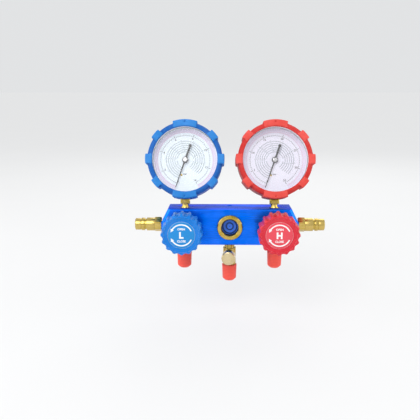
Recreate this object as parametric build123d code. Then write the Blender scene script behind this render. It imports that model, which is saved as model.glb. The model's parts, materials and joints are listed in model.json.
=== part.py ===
from build123d import *

import os
from math import acos, atan2, cos, degrees, hypot, pi, radians, sin, tan

# Two-valve refrigerant manifold with a low-side and a high-side pressure gauge.
# Frame: +Z up, gauge faces towards -Y, +X to the right of someone reading the gauges.
# The origin is the mouth of the hanger hole in the top of the block. All sizes are in millimetres.
# Each piece is built round its own axis, then placed by one of the frames in the section "Frames".

# ---------------------------------------------------------------- driving dimensions

# manifold block
block_end_margin = 22.7  # from an outer valve to the block's end
block_height = 37.0
block_depth = 29.0
block_end_flat = 9.0  # height of the upright strip at each pointed end
block_end_taper = 7.0  # how far the pointed ends run back to the top and bottom edges
block_edge = 0.8  # chamfer of the long front edges
block_end_edge = 2.4  # chamfer of the pointed ends' front edges
gallery_bore = 5.0  # passage that joins every port inside the block
valve_spacing = 94.6  # between the two valves, and between the two outer ports
gauge_inset = 1.3  # each gauge stands this much nearer the middle than its valve
fit_gap = 0.1  # running clearance of a thread or a push fit, on the radius
soft_gap = 0.3  # between rubber and a piece that moves against it

# hanger hole
hanger_set_back = 7.0  # behind the plane that holds the ports
hanger_bore = 5.0
hanger_depth = 10.0

# sight glass
sight_ring_outer = 25.6
sight_ring_stands = 2.4
sight_window = 17.4
sight_thread = 22.0
sight_ring_skirt = 2.2
sight_seal_thickness = 3.0
sight_glass_thickness = 4.0
sight_chamber = 5.0  # depth of the hollow behind the glass
spanner_slot = 1.6
spanner_slot_angle = 32.0

# hand valves
valve_seat_bore = 4.0
valve_chamber_depth = 11.5
seat_disc_diameter = 9.0
seat_disc_thickness = 2.2
seat_disc_socket = 3.2
seat_disc_socket_depth = 1.2
bonnet_thread = 14.0
bonnet_thread_length = 9.0
bonnet_across_flats = 17.0
bonnet_hex_length = 6.5
gland_diameter = 12.0
gland_length = 5.0
spindle_diameter = 6.0
spindle_nose = 3.0
spindle_square = 4.4
spindle_square_length = 7.0
stem_seal_section = 1.4
wheel_outer = 40.6
wheel_depth = 20.0
wheel_gap = 2.0  # between the gland and the wheel's hub
wheel_web = 6.0
wheel_wall = 2.6
wheel_flutes = 16
wheel_flute_radius = 3.3
wheel_flute_depth = 1.9
wheel_hub = 15.0
wheel_ribs = 8  # between the hub and the wall, under the face
wheel_rib_thickness = 1.6
wheel_rib_set_in = 4.0
wheel_rim_bevel = 1.6
wheel_face_rim = 1.1  # width of the raised ring round the face
wheel_face_sunk = 0.6
label_diameter = 26.6
label_thickness = 0.8
label_sunk = 0.6
wheel_screw_head = 7.0
wheel_screw_head_height = 1.6
wheel_screw_shank = 3.0
wheel_screw_length = 8.0
spindle_thread_pitch = 1.25
wheel_turns = 2.5

# hose ports under the block
port_thread = 11.1  # major diameter of the 1/4 SAE flare thread
port_thread_length = 11.0
port_flare = 8.2  # small end of the 45 degree flare seat
port_bore = 4.5
port_hex = 14.0
port_hex_length = 7.0
port_neck = 9.0
port_neck_length = 3.0
port_shank = 9.6
port_shank_length = 8.0

# centre port: a tee with an access branch towards the front
tee_neck = 10.4
tee_neck_length = 6.0
tee_body = 13.4
tee_body_length = 18.0
branch_drop = 12.5  # from the block down to the branch's axis
branch_diameter = 9.0
branch_thread_length = 7.5
branch_reach = 12.0  # from the tee's axis to the start of the branch's thread
branch_yaw = -4.0
core_diameter = 4.4
core_length = 9.0

# caps
cap_outer = 15.4
cap_tip = 13.9
cap_length = 17.5
cap_crown = 3.0
cap_round = 2.4
access_cap_diameter = 14.2
access_cap_length = 10.0
access_cap_crown = 2.2
knurl_sides = 12

# hose parking stubs at the ends, shaped as quick-coupler service ports
stub_collar = 8.6
stub_collar_length = 0.8
stub_hex = 13.2
stub_hex_length = 7.0
stub_barrel = 13.6
stub_barrel_length = 8.2
stub_neck = 11.2
stub_neck_length = 2.2
stub_bead = 13.2
stub_bead_length = 3.0
stub_groove = 11.0
stub_groove_length = 0.9
stub_tip = 12.2
stub_tip_length = 6.0
stub_bore = 7.0
stub_bore_depth = 9.0
stub_shank = 8.0
stub_shank_length = 9.0

# gauges
gauge_lean = 14.0  # the faces tip back, so that they read from above
gauge_height = 48.0  # from the top of the block to the pointer's axis, along the stem
case_outer = 70.0
case_wall = 1.2
case_back = -11.0  # heights along the gauge's axis count from the stem's axis
case_front = 11.0
case_hole_reach = 4.0  # how far inside the wall the stem's hole starts
vent_diameter = 9.0
vent_plug_rim = 1.5
vent_plug_head = 1.2
bezel_outer = 72.6
bezel_length = 6.0
bezel_wall = 1.3
lens_thickness = 2.0
dial_height = 4.6
dial_thickness = 0.6
dial_margin = 0.5
dial_arbor_hole = 3.0
dial_screw_hole = 1.6
pointer_height = 7.4
pointer_thickness = 0.5
pointer_reach = 30.0
pointer_tail = 15.4
pointer_tail_width = 2.0
pointer_tip_width = 0.6
pointer_weight = 3.2
pointer_boss = 6.4
pointer_cap = 4.4
pointer_cap_height = 1.2
zero_angle = 19.0  # the pointer rests this far past six o'clock, towards nine

# rubber boots
boot_outer = 76.6
boot_pad_outer = 80.8
boot_window = 66.0
boot_back_window = 56.0
boot_back_lip = 2.4
boot_front_lip = 2.4
boot_pad_rise = 1.0
boot_pad_start = 3.0  # in front of the boot's back
boot_pad_chamfer = 1.0
boot_bevel = 2.6
small_pad_angle = 15.0
wide_pad_angle = 37.0
small_pads_at = (0, 40, 140, 180, 220, 320)
wide_pads_at = (90, 270)
boot_mark = 2.2

# gauge sockets
socket_thread = 9.6
socket_thread_length = 9.0
socket_square = 9.6
socket_square_start = 3.2  # above the block
socket_square_length = 8.0
socket_waist = 6.8  # between the thread and the square
socket_neck = 9.0
socket_head_width = 10.0
socket_head_depth = 6.4
socket_head_centre = -0.6
socket_head_top = -15.0

# Bourdon tube, link and geared movement
tube_radius = 25.0
tube_thickness = 1.8
tube_width = 5.6
tube_end_angle = 326.0
tube_ear_width = 2.4
tube_ear_thickness = 0.6
tube_ear_reach = 3.6  # how far inside the tube's middle line the link is held
plate_thickness = 0.8
pinion_teeth = 10
gear_ratio = 12
gear_module = 0.25
gear_pressure_angle = 20.0
gear_backlash = 0.05  # taken off each flank
gear_thickness = 1.2
gear_height = -1.2
sector_teeth = 15
sector_lead_teeth = 11  # sector teeth that reach the pinion as the pressure rises
sector_pivot_angle = 305.0
sector_tail = 5.0
sector_arm_width = 2.6
arbor_diameter = 1.2
hairspring_turns = 3
hairspring_inner = 1.6
hairspring_pitch = 0.7
hairspring_strip = 0.2
hairspring_height = 0.6
hairspring_gap = 0.8  # in front of the gears
link_width = 1.6
link_thickness = 0.5
pivot_pin = 0.9
pillar_diameter = 2.4
plate_arbor_round = 6.8
plate_pivot_round = 6.0
plate_foot_round = 4.4
plate_foot_offset = 2.8  # either side of the middle
plate_foot_depth = 3.0  # below the top of the socket's head
plate_margin = 0.6  # round the pillar
pillar_offset = 5.4  # from the arbor
dial_bridge_width = 3.0
dial_screw_spacing = 16.0
dial_screw_head = 2.6

# ---------------------------------------------------------------- worked-out sizes

port_plane = -hanger_set_back
front_face = port_plane - block_depth / 2
back_face = port_plane + block_depth / 2
block_middle = -block_height / 2
valve_station = valve_spacing / 2
gauge_station = valve_station - gauge_inset
block_length = valve_spacing + 2 * block_end_margin
spindle_travel = spindle_thread_pitch * wheel_turns

wheel_back = bonnet_hex_length + gland_length + wheel_gap
wheel_front = wheel_back + wheel_depth
label_seat = wheel_front - label_thickness - label_sunk
wheel_screw_seat = label_seat - wheel_screw_head_height - fit_gap
spindle_end = wheel_screw_seat - wheel_web / 2
seat_disc_low = fit_gap / 2 - valve_chamber_depth
seat_disc_top = seat_disc_low + seat_disc_thickness
spindle_start = seat_disc_top + fit_gap / 2

port_seat = -block_height
port_thread_start = port_neck_length + port_hex_length
tee_thread_start = tee_neck_length + tee_body_length

case_radius = case_outer / 2
lens_back = case_front + fit_gap
lens_front = lens_back + lens_thickness
bezel_front = lens_front + bezel_wall
bezel_back = bezel_front - bezel_length
lens_radius = bezel_outer / 2 - bezel_wall - fit_gap
boot_front = bezel_front + boot_front_lip
boot_back = case_back - boot_back_lip
dial_radius = case_radius - case_wall - dial_margin

pinion_pitch_radius = gear_module * pinion_teeth / 2
sector_pitch_radius = pinion_pitch_radius * gear_ratio
sector_full_teeth = pinion_teeth * gear_ratio
gear_centres = pinion_pitch_radius + sector_pitch_radius
link_low = gear_height + gear_thickness + fit_gap
tube_start_angle = 269.0
back_plate_top = socket_head_centre - socket_head_depth / 2
front_plate_bottom = socket_head_centre + socket_head_depth / 2
front_plate_top = front_plate_bottom + plate_thickness

# ---------------------------------------------------------------- frames

SIDES = {"low": -1, "high": 1}


def stem_frame(side):
    """On top of the block at a gauge's stem: local +Z runs up the leaning stem."""
    return Pos(side * gauge_station, port_plane, 0) * Rot(X=-gauge_lean)


def face_frame(side):
    """At the pointer's axis: local +Z leaves the gauge's face and local +Y points at twelve o'clock."""
    return stem_frame(side) * Pos(0, 0, gauge_height) * Rot(X=90)


def front_frame(x):
    """On the block's front face at half height: local +Z points forwards, +Y up."""
    return Pos(x, front_face, block_middle) * Rot(X=90)


def port_frame(x):
    """Under the block: local +Z points down, out of the port."""
    return Pos(x, port_plane, port_seat) * Rot(X=180)


def end_frame(side):
    """On a pointed end: local +Z points outwards along X."""
    return Pos(side * block_length / 2, port_plane, block_middle) * Rot(Y=side * 90)


def branch_frame():
    """On the tee's axis: local +Z points forwards along the access branch."""
    return Pos(0, port_plane, port_seat - branch_drop) * Rot(Z=branch_yaw) * Rot(X=90)


# ---------------------------------------------------------------- helpers


def turned(*points):
    """A solid of revolution about Z from (radius, height) corners."""
    outline = Plane.XZ * make_face(Polyline(*points, close=True))
    return revolve(outline, Axis.Z)


def rod(diameter, low, high):
    """A cylinder on the Z axis from one height to another."""
    return Pos(0, 0, low) * Cylinder(
        diameter / 2, high - low, align=(Align.CENTER, Align.CENTER, Align.MIN)
    )


def prism(across_flats, low, high, sides=6):
    """A hexagonal or square bar on the Z axis."""
    outline = RegularPolygon(across_flats / 2, round(sides), major_radius=False)
    return Pos(0, 0, low) * extrude(outline, high - low)


def rounded_hex(across_flats, low, high):
    """A hexagon whose corners are turned off at both ends, as on a bar-turned fitting."""
    corner = across_flats / 2 / cos(pi / 6)
    drop = (corner - across_flats / 2) * tan(radians(30))
    cone = turned(
        (0, low),
        (across_flats / 2, low),
        (corner, low + drop),
        (corner, high - drop),
        (across_flats / 2, high),
        (0, high),
    )
    return prism(across_flats, low, high) & cone


def flat_bar(width, start, end, low, high):
    """A flat bar with round ends, from one point to another in the XY plane."""
    dx, dy = end[0] - start[0], end[1] - start[1]
    slot = SlotCenterToCenter(hypot(dx, dy), width)
    middle = Pos((start[0] + end[0]) / 2, (start[1] + end[1]) / 2, low)
    return middle * Rot(Z=degrees(atan2(dy, dx))) * extrude(slot, high - low)


# ---------------------------------------------------------------- manifold block


def block_blank():
    """The bar with its pointed ends and its chamfered front edges."""
    half, top = block_length / 2, block_height / 2
    flat, shoulder = block_end_flat / 2, block_length / 2 - block_end_taper
    corners = [(half, -flat), (half, flat), (shoulder, top), (-shoulder, top)]
    corners += [(-half, flat), (-half, -flat), (-shoulder, -top), (shoulder, -top)]
    outline = make_face(Polyline(*corners, close=True))
    bar = front_frame(0) * extrude(outline, -block_depth)
    end_edges = front_edges(bar).filter_by(Axis.X, reverse=True)
    bar = chamfer(end_edges, block_end_edge)
    return chamfer(front_edges(bar).filter_by(Axis.X), block_edge)


def front_edges(bar):
    return bar.faces().sort_by(Axis.Y)[0].edges()


def manifold_block():
    block = block_blank()
    gallery = rod(gallery_bore, -block_length / 2, block_length / 2)
    block -= Pos(0, port_plane, block_middle) * Rot(Y=90) * gallery
    block -= rod(hanger_bore, -hanger_depth, 0)
    for side in SIDES.values():
        stem_hole = rod(socket_thread + 2 * fit_gap, -socket_thread_length - 1, 2)
        stem_hole += rod(gallery_bore, -block_height / 2, 0)
        block -= stem_frame(side) * stem_hole
        stub_hole = rod(stub_shank + 2 * fit_gap, -stub_shank_length - 1, 1)
        block -= end_frame(side) * stub_hole
        valve_hole = rod(bonnet_thread + 2 * fit_gap, -valve_chamber_depth, 1)
        valve_hole += rod(valve_seat_bore, -block_depth / 2, 0)
        block -= front_frame(side * valve_station) * valve_hole
    for x in (-valve_station, 0, valve_station):
        port_hole = rod(port_shank + 2 * fit_gap, -port_shank_length - 1, 1)
        port_hole += rod(gallery_bore, -block_height / 2, 0)
        block -= port_frame(x) * port_hole
    block -= front_frame(0) * sight_pocket()
    return block


def sight_pocket():
    """The stepped bore that takes the ring's thread, the seal and the glass, and the chamber behind them."""
    deep = sight_ring_skirt + sight_seal_thickness + sight_glass_thickness
    pocket = rod(sight_thread + 2 * fit_gap, -deep, 1)
    return pocket + rod(sight_window - 1, -deep - sight_chamber, 0)


# ---------------------------------------------------------------- sight glass


def sight_glass_ring():
    inner, skirt = sight_window / 2, sight_thread / 2
    outer = sight_ring_outer / 2
    ring = turned(
        (inner, -sight_ring_skirt),
        (skirt, -sight_ring_skirt),
        (skirt, 0),
        (outer, 0),
        (outer, sight_ring_stands - 0.6),
        (outer - 0.6, sight_ring_stands),
        (inner + 0.6, sight_ring_stands),
        (inner, sight_ring_stands - 0.6),
    )
    slot = Pos(0, 0, sight_ring_stands) * Box(2 * sight_ring_outer, spanner_slot, 1.6)
    return ring - Rot(Z=spanner_slot_angle) * slot


def sight_glass_seal():
    top = -sight_ring_skirt
    seal = rod(sight_thread, top - sight_seal_thickness, top)
    return seal - rod(sight_window - 0.6, top - sight_seal_thickness, top)


def sight_glass_window():
    top = -sight_ring_skirt - sight_seal_thickness
    return rod(sight_thread, top - sight_glass_thickness, top)


# ---------------------------------------------------------------- hand valves


def valve_bonnet():
    """The hexagon screws into the block, and the gland above it holds the stem seals."""
    bonnet = rod(bonnet_thread, -bonnet_thread_length, 0)
    bonnet += rounded_hex(bonnet_across_flats, 0, bonnet_hex_length)
    top = bonnet_hex_length + gland_length
    bonnet += rod(gland_diameter, bonnet_hex_length, top)
    bonnet -= rod(spindle_diameter + 2 * fit_gap, -bonnet_thread_length, top)
    disc_room = seat_disc_top + spindle_travel + fit_gap
    bonnet -= rod(seat_disc_diameter + 4 * fit_gap, -bonnet_thread_length, disc_room)
    for low in seal_heights():
        groove = spindle_diameter + 2 * stem_seal_section + 2 * fit_gap
        bonnet -= rod(groove, low, low + stem_seal_section)
    return bonnet


def seal_heights():
    return (1.5, bonnet_hex_length)


def stem_seals():
    """Two rings in the bonnet's grooves."""
    rings = []
    for low in seal_heights():
        outer = spindle_diameter + 2 * stem_seal_section
        ring = rod(outer, low, low + stem_seal_section)
        rings.append(ring - rod(spindle_diameter + 2 * soft_gap, low, low + stem_seal_section))
    return Compound(rings)


def seat_disc():
    """The disc that closes the seat: the spindle pushes it without turning it."""
    disc = rod(seat_disc_diameter, seat_disc_low, seat_disc_top)
    return disc - rod(seat_disc_socket, seat_disc_top - seat_disc_socket_depth, seat_disc_top)


def valve_spindle():
    """The nose at the inner end holds the seat disc, and the square at the outer end drives the wheel."""
    square_start = spindle_end - spindle_square_length
    spindle = rod(spindle_diameter, spindle_start, square_start)
    nose_start = seat_disc_top - seat_disc_socket_depth + fit_gap
    spindle += rod(spindle_nose, nose_start, spindle_start)
    spindle += prism(spindle_square, square_start, spindle_end, sides=4)
    tapped = rod(wheel_screw_shank, spindle_end - wheel_screw_length, spindle_end)
    return spindle - tapped


def handwheel():
    """A fluted cup with a hub: the flutes run the full depth, and the face is sunk for its label."""
    outer, wall = wheel_outer / 2, wheel_outer / 2 - wheel_flute_depth - wheel_wall
    hub, under = wheel_hub / 2, wheel_front - wheel_web
    face = outer - wheel_flute_depth - wheel_face_rim
    wheel = turned(
        (0, wheel_back),
        (hub, wheel_back),
        (hub, under),
        (wall, under),
        (wall, wheel_back),
        (outer, wheel_back),
        (outer, wheel_front - wheel_rim_bevel),
        (outer - wheel_rim_bevel, wheel_front),
        (face, wheel_front),
        (face, wheel_front - wheel_face_sunk),
        (0, wheel_front - wheel_face_sunk),
    )
    centre = outer - wheel_flute_depth + wheel_flute_radius
    flute = Pos(centre, 0, 0) * rod(2 * wheel_flute_radius, wheel_back, wheel_front)
    for i in range(wheel_flutes):
        wheel -= Rot(Z=(i + 0.5) * 360 / wheel_flutes) * flute
    rib_height = wheel_depth - wheel_web - wheel_rib_set_in
    rib = Box(wall - hub + 1, wheel_rib_thickness, rib_height)
    rib = Pos((hub + wall) / 2, 0, under - rib_height / 2) * rib
    for i in range(wheel_ribs):
        wheel += Rot(Z=i * 360 / wheel_ribs) * rib
    wheel -= rod(label_diameter + 2 * fit_gap, label_seat, wheel_front)
    wheel -= rod(wheel_screw_head + 2 * fit_gap, wheel_screw_seat, label_seat)
    wheel -= rod(wheel_screw_shank + 2 * fit_gap, spindle_end, wheel_screw_seat)
    square = spindle_square + 2 * fit_gap
    square_start = spindle_end - spindle_square_length
    wheel -= prism(square, square_start, spindle_end + fit_gap, sides=4)
    return wheel - rod(spindle_diameter + 2 * fit_gap, wheel_back, square_start + fit_gap)


def handwheel_label():
    return rod(label_diameter, label_seat, label_seat + label_thickness)


def handwheel_screw():
    """Pan head with a slot, under the label."""
    screw = rod(wheel_screw_head, wheel_screw_seat, wheel_screw_seat + wheel_screw_head_height)
    slot = Box(wheel_screw_head, 1, 1.4)
    screw -= Pos(0, 0, wheel_screw_seat + wheel_screw_head_height) * slot
    low = spindle_end - wheel_screw_length + 1
    return screw + rod(wheel_screw_shank - 2 * fit_gap, low, wheel_screw_seat)


# ---------------------------------------------------------------- ports and caps


def flare_thread(start):
    """The threaded nose of a flare port with its 45 degree seat, from a given height along the port."""
    major, seat = port_thread / 2, port_flare / 2
    end = start + port_thread_length
    return turned(
        (0, start),
        (major, start),
        (major, end),
        (seat, end + major - seat),
        (0, end + major - seat),
    )


def hose_port():
    port = rod(port_shank, -port_shank_length, 0)
    port += rounded_hex(port_hex, 0, port_hex_length)
    port += rod(port_neck, port_hex_length, port_thread_start)
    port += flare_thread(port_thread_start)
    tip = port_thread_start + port_thread_length + port_thread
    return port - rod(port_bore, -port_shank_length, tip)


def centre_tee():
    """The tee under the middle of the block: the hose thread points down and the access branch forwards."""
    tee = rod(port_shank, -port_shank_length, 0)
    tee += rod(tee_neck, 0, tee_neck_length)
    tee += rod(tee_body, tee_neck_length, tee_thread_start)
    tee += flare_thread(tee_thread_start)
    tip = tee_thread_start + port_thread_length + port_thread
    tee -= rod(port_bore, -port_shank_length, tip)
    tee = port_frame(0) * tee
    end = branch_reach + branch_thread_length
    tee += branch_frame() * rod(branch_diameter, 0, end)
    return tee - branch_frame() * rod(core_diameter + 2 * fit_gap, 0, end)


def centre_valve_core():
    """The spring-loaded core in the access branch, closed as a turned body with its pin."""
    end = branch_reach + branch_thread_length - 1
    core = rod(core_diameter, end - core_length, end - 1.5)
    return core + rod(1.2, end - core_length - 2, end)


def push_cap():
    """A soft cap over the thread: its inside follows the thread and stops at the flare's tip."""
    outer, tip, bore = cap_outer / 2, cap_tip / 2, port_thread / 2 + soft_gap
    return turned(
        (bore, 0),
        (outer, 0),
        (tip + 0.2, cap_length - cap_round),
        (tip - cap_round, cap_length),
        (0, cap_length),
        (0, cap_length - cap_crown),
        (bore, cap_length - cap_crown),
    )


def access_cap():
    """A turned brass cap with a flatted grip."""
    outer, bore = access_cap_diameter / 2, branch_diameter / 2 + fit_gap
    cap = turned(
        (bore, 0),
        (outer - 0.5, 0),
        (outer, 0.5),
        (outer, access_cap_length - 0.8),
        (outer - 0.8, access_cap_length),
        (0, access_cap_length),
        (0, access_cap_length - access_cap_crown),
        (bore, access_cap_length - access_cap_crown),
    )
    return cap & prism(access_cap_diameter * 0.985, 0, access_cap_length, knurl_sides)


# ---------------------------------------------------------------- parking stubs


def parking_stub():
    """A hexagon, a barrel and a grooved nose that a hose's quick coupler snaps on to."""
    lengths_and_diameters = (
        (stub_barrel_length, stub_barrel),
        (stub_neck_length, stub_neck),
        (stub_bead_length, stub_bead),
        (stub_groove_length, stub_groove),
        (stub_tip_length, stub_tip),
    )
    stub = rod(stub_shank, -stub_shank_length, 0)
    stub += rod(stub_collar, 0, stub_collar_length)
    height = stub_collar_length + stub_hex_length
    stub += rounded_hex(stub_hex, stub_collar_length, height)
    for length, diameter in lengths_and_diameters:
        stub += rod(diameter, height, height + length)
        height += length
    tip_edge = stub.faces().sort_by(Axis.Z)[-1].edges()
    stub = chamfer(tip_edge, 0.7)
    return stub - rod(stub_bore, height - stub_bore_depth, height)


# ---------------------------------------------------------------- gauge: case, glass and dial


def gauge_case():
    """A pressed cup with a vent in its back and a hole for the socket at six o'clock."""
    outer, inner = case_radius, case_radius - case_wall
    case = turned(
        (0, case_back),
        (outer - 1.5, case_back),
        (outer, case_back + 1.5),
        (outer, case_front),
        (inner, case_front),
        (inner, case_back + case_wall),
        (0, case_back + case_wall),
    )
    case -= rod(vent_diameter, case_back, case_back + case_wall)
    return case - case_hole(socket_neck)


def case_hole(diameter):
    """A round hole through the wall at six o'clock, on the stem's axis."""
    hole = rod(diameter + 2 * fit_gap, case_radius - case_hole_reach, boot_pad_outer)
    return Rot(X=90) * hole


def vent_plug():
    """The rubber plug that blows out if the tube bursts."""
    head = rod(vent_diameter + 2 * vent_plug_rim, case_back - vent_plug_head, case_back)
    return head + rod(vent_diameter - 2 * fit_gap, case_back, case_back + case_wall + 1)


def bezel():
    """The ring that clamps the glass to the case."""
    outer = bezel_outer / 2
    return turned(
        (case_radius + fit_gap, bezel_back),
        (outer, bezel_back),
        (outer, bezel_front),
        (boot_window / 2 + 0.4, bezel_front),
        (boot_window / 2 + 0.4, lens_front),
        (lens_radius + fit_gap, lens_front),
        (lens_radius + fit_gap, case_front),
        (case_radius + fit_gap, case_front),
    )


def lens():
    return rod(2 * lens_radius, lens_back, lens_front)


def dial():
    """The printed plate, with holes for the arbor and its two screws."""
    plate = rod(2 * dial_radius, dial_height, dial_height + dial_thickness)
    plate -= rod(dial_arbor_hole, dial_height, dial_height + dial_thickness)
    for x in dial_screw_places():
        hole = rod(dial_screw_hole, dial_height, dial_height + dial_thickness)
        plate -= Pos(x, 0, 0) * hole
    return plate


def dial_screw_places():
    return (-dial_screw_spacing / 2, dial_screw_spacing / 2)


def dial_screws():
    """Two pan-head screws that go through the dial into the movement's ears."""
    top = dial_height + dial_thickness
    screw = rod(dial_screw_head, top, top + 0.7) + rod(1.2, front_plate_bottom, top)
    return Compound([Pos(x, 0, 0) * screw for x in dial_screw_places()])


def pointer():
    """A thin blade with a counterweight tail, a boss and a slotted adjusting cap."""
    low, high = pointer_height, pointer_height + pointer_thickness
    tip, root = pointer_tip_width / 2, pointer_tail_width / 2 * 0.8
    blade = make_face(
        Polyline((-root, 0), (-tip, -pointer_reach), (tip, -pointer_reach), (root, 0), close=True)
    )
    hand = Pos(0, 0, low) * extrude(blade, high - low)
    hand += flat_bar(pointer_tail_width, (0, 0), (0, pointer_tail), low, high)
    hand += Pos(0, pointer_tail, 0) * rod(pointer_weight, low, high)
    hand += rod(pointer_boss, low, high + 0.3)
    hand += rod(pointer_cap, high, high + pointer_cap_height)
    slot = Pos(0, 0, high + pointer_cap_height) * Box(pointer_cap, 0.7, 0.8)
    hand = hand - slot - rod(arbor_diameter, low, pointer_height + pointer_thickness)
    return Rot(Z=-zero_angle) * hand


# ---------------------------------------------------------------- gauge: boot


def boot_profile(outer, rise):
    """Half section of the boot: (radius, height) corners round the case, from the back lip to the front lip."""
    body, bezel_room = case_radius + fit_gap, bezel_outer / 2 + fit_gap
    front = boot_front + rise
    return (
        (boot_back_window / 2, boot_back),
        (outer - 2, boot_back),
        (outer, boot_back + 2),
        (outer, front - boot_bevel),
        (outer - boot_bevel, front),
        (boot_window / 2, front),
        (boot_window / 2, bezel_front + fit_gap),
        (bezel_room, bezel_front + fit_gap),
        (bezel_room, bezel_back - fit_gap),
        (body, bezel_back - fit_gap),
        (body, case_back - fit_gap),
        (boot_back_window / 2, case_back - fit_gap),
    )


def boot_pad(angle, width):
    """A raised pad that wraps the boot's edge and its front, centred on an angle."""
    outline = (
        (bezel_outer / 2 + 0.4, boot_back + boot_pad_start),
        (boot_pad_outer / 2 - boot_pad_chamfer, boot_back + boot_pad_start),
        (boot_pad_outer / 2, boot_back + boot_pad_start + boot_pad_chamfer),
        (boot_pad_outer / 2, boot_front + boot_pad_rise - boot_pad_chamfer),
        (boot_pad_outer / 2 - boot_pad_chamfer, boot_front + boot_pad_rise),
        (boot_window / 2 + 0.8, boot_front + boot_pad_rise),
        (boot_window / 2 + 0.8, boot_front - 1.2),
        (bezel_outer / 2 + 0.4, boot_front - 1.2),
    )
    face = Plane.XZ * make_face(Polyline(*outline, close=True))
    return Rot(Z=angle - width / 2) * revolve(face, Axis.Z, revolution_arc=width)


def boot():
    cover = turned(*boot_profile(boot_outer / 2, 0))
    for angle in small_pads_at:
        cover += boot_pad(angle, small_pad_angle)
    for angle in wide_pads_at:
        cover += boot_pad(angle, wide_pad_angle)
    mark_at = boot_pad_outer / 2 - boot_mark
    for side in (-1, 1):
        mark = Pos(0, side * mark_at, boot_front + boot_pad_rise)
        cover -= mark * Box(boot_mark, boot_mark, 2.4)
    return cover - case_hole(socket_square * 2**0.5)


# ---------------------------------------------------------------- gauge: socket and Bourdon tube


def socket():
    """The brass stem: thread in the block, a square for the spanner, and a head that carries tube and movement."""
    square_top = socket_square_start + socket_square_length
    stem = rod(socket_thread, -socket_thread_length, -fit_gap)
    stem += rod(socket_waist, -fit_gap, socket_square_start)
    square = prism(socket_square, socket_square_start, square_top, sides=4)
    stem += Rot(Z=45) * square & rod(socket_square * 1.3, socket_square_start, square_top)
    stem += rod(socket_neck, square_top, gauge_height - tube_radius)
    stem -= rod(2.4, -socket_thread_length, gauge_height - tube_radius)
    stem = Pos(0, -gauge_height, 0) * Rot(X=-90) * stem
    head_height = socket_head_top + case_radius - case_wall - 2
    middle = socket_head_top - head_height / 2
    head = Pos(0, middle, socket_head_centre) * Box(
        socket_head_width, head_height, socket_head_depth
    )
    return stem + head - tube_bend(tube_start_angle - 30, tube_start_angle, fit_gap)


def tube_bend(start, end, gap):
    """An arc of the tube's flattened section, grown by a gap."""
    across, height = tube_thickness + 2 * gap, tube_width + 2 * gap
    section = Plane.XZ * Pos(tube_radius, socket_head_centre) * Rectangle(across, height)
    return Rot(Z=start) * revolve(section, Axis.Z, revolution_arc=end - start)


def bourdon_tube():
    """A flattened tube bent round the movement, from the socket's slot to a closed tip with an ear for the link."""
    tube = tube_bend(tube_end_angle, tube_start_angle + 360, 0)
    low = link_low + link_thickness + fit_gap
    root = polar(tube_radius, tube_end_angle + 2)
    return tube + flat_bar(tube_ear_width, root, link_outer_end(), low, low + tube_ear_thickness)


def polar(radius, angle):
    return (radius * cos(radians(angle)), radius * sin(radians(angle)))


# ---------------------------------------------------------------- gauge: geared movement


def sector_pivot():
    return polar(gear_centres, sector_pivot_angle)


def sector_tail_end():
    return polar(gear_centres + sector_tail, sector_pivot_angle)


def link_outer_end():
    return polar(tube_radius - tube_ear_reach, tube_end_angle)


def involute_gap(pitch_radius, teeth):
    """Half a tooth's angle at a given radius, less the backlash, for an involute gear."""
    pressure = radians(gear_pressure_angle)
    base = pitch_radius * cos(pressure)
    at_pitch = pi / (2 * teeth) - gear_backlash / pitch_radius + tan(pressure) - pressure

    def half_angle(radius):
        if radius <= base:
            return at_pitch
        roll = acos(base / radius)
        return at_pitch - (tan(roll) - roll)

    return half_angle


def gear_tooth(pitch_radius, teeth, root, tip):
    """One tooth on the +X axis from the root circle to the tip circle."""
    half_angle = involute_gap(pitch_radius, teeth)
    radii = [root, pitch_radius * cos(radians(gear_pressure_angle)), pitch_radius, tip]
    radii = sorted(radii)
    upper = [polar(r, degrees(half_angle(r))) for r in radii]
    lower = [(x, -y) for x, y in reversed(upper)]
    inner = [(upper[0][0] * 0.8, -upper[0][1]), (upper[0][0] * 0.8, upper[0][1])]
    return make_face(Polyline(*upper, *lower, *inner, close=True))


def pinion_arbor():
    """The pointer's arbor with its pinion, cut so that a tooth gap faces the sector at rest."""
    low, high = back_plate_top - plate_thickness / 2, pointer_height + pointer_thickness
    root, tip = pinion_pitch_radius - 1.2 * gear_module, pinion_pitch_radius + gear_module
    arbor = rod(arbor_diameter - 0.1, low, high)
    blank = Circle(root)
    for i in range(pinion_teeth):
        turn = sector_pivot_angle + (i + 0.5) * 360 / pinion_teeth
        blank += Rot(Z=turn) * gear_tooth(pinion_pitch_radius, pinion_teeth, root, tip)
    wheel = Pos(0, 0, gear_height - 0.3) * extrude(blank, gear_thickness + 0.6)
    return arbor + wheel


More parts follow.
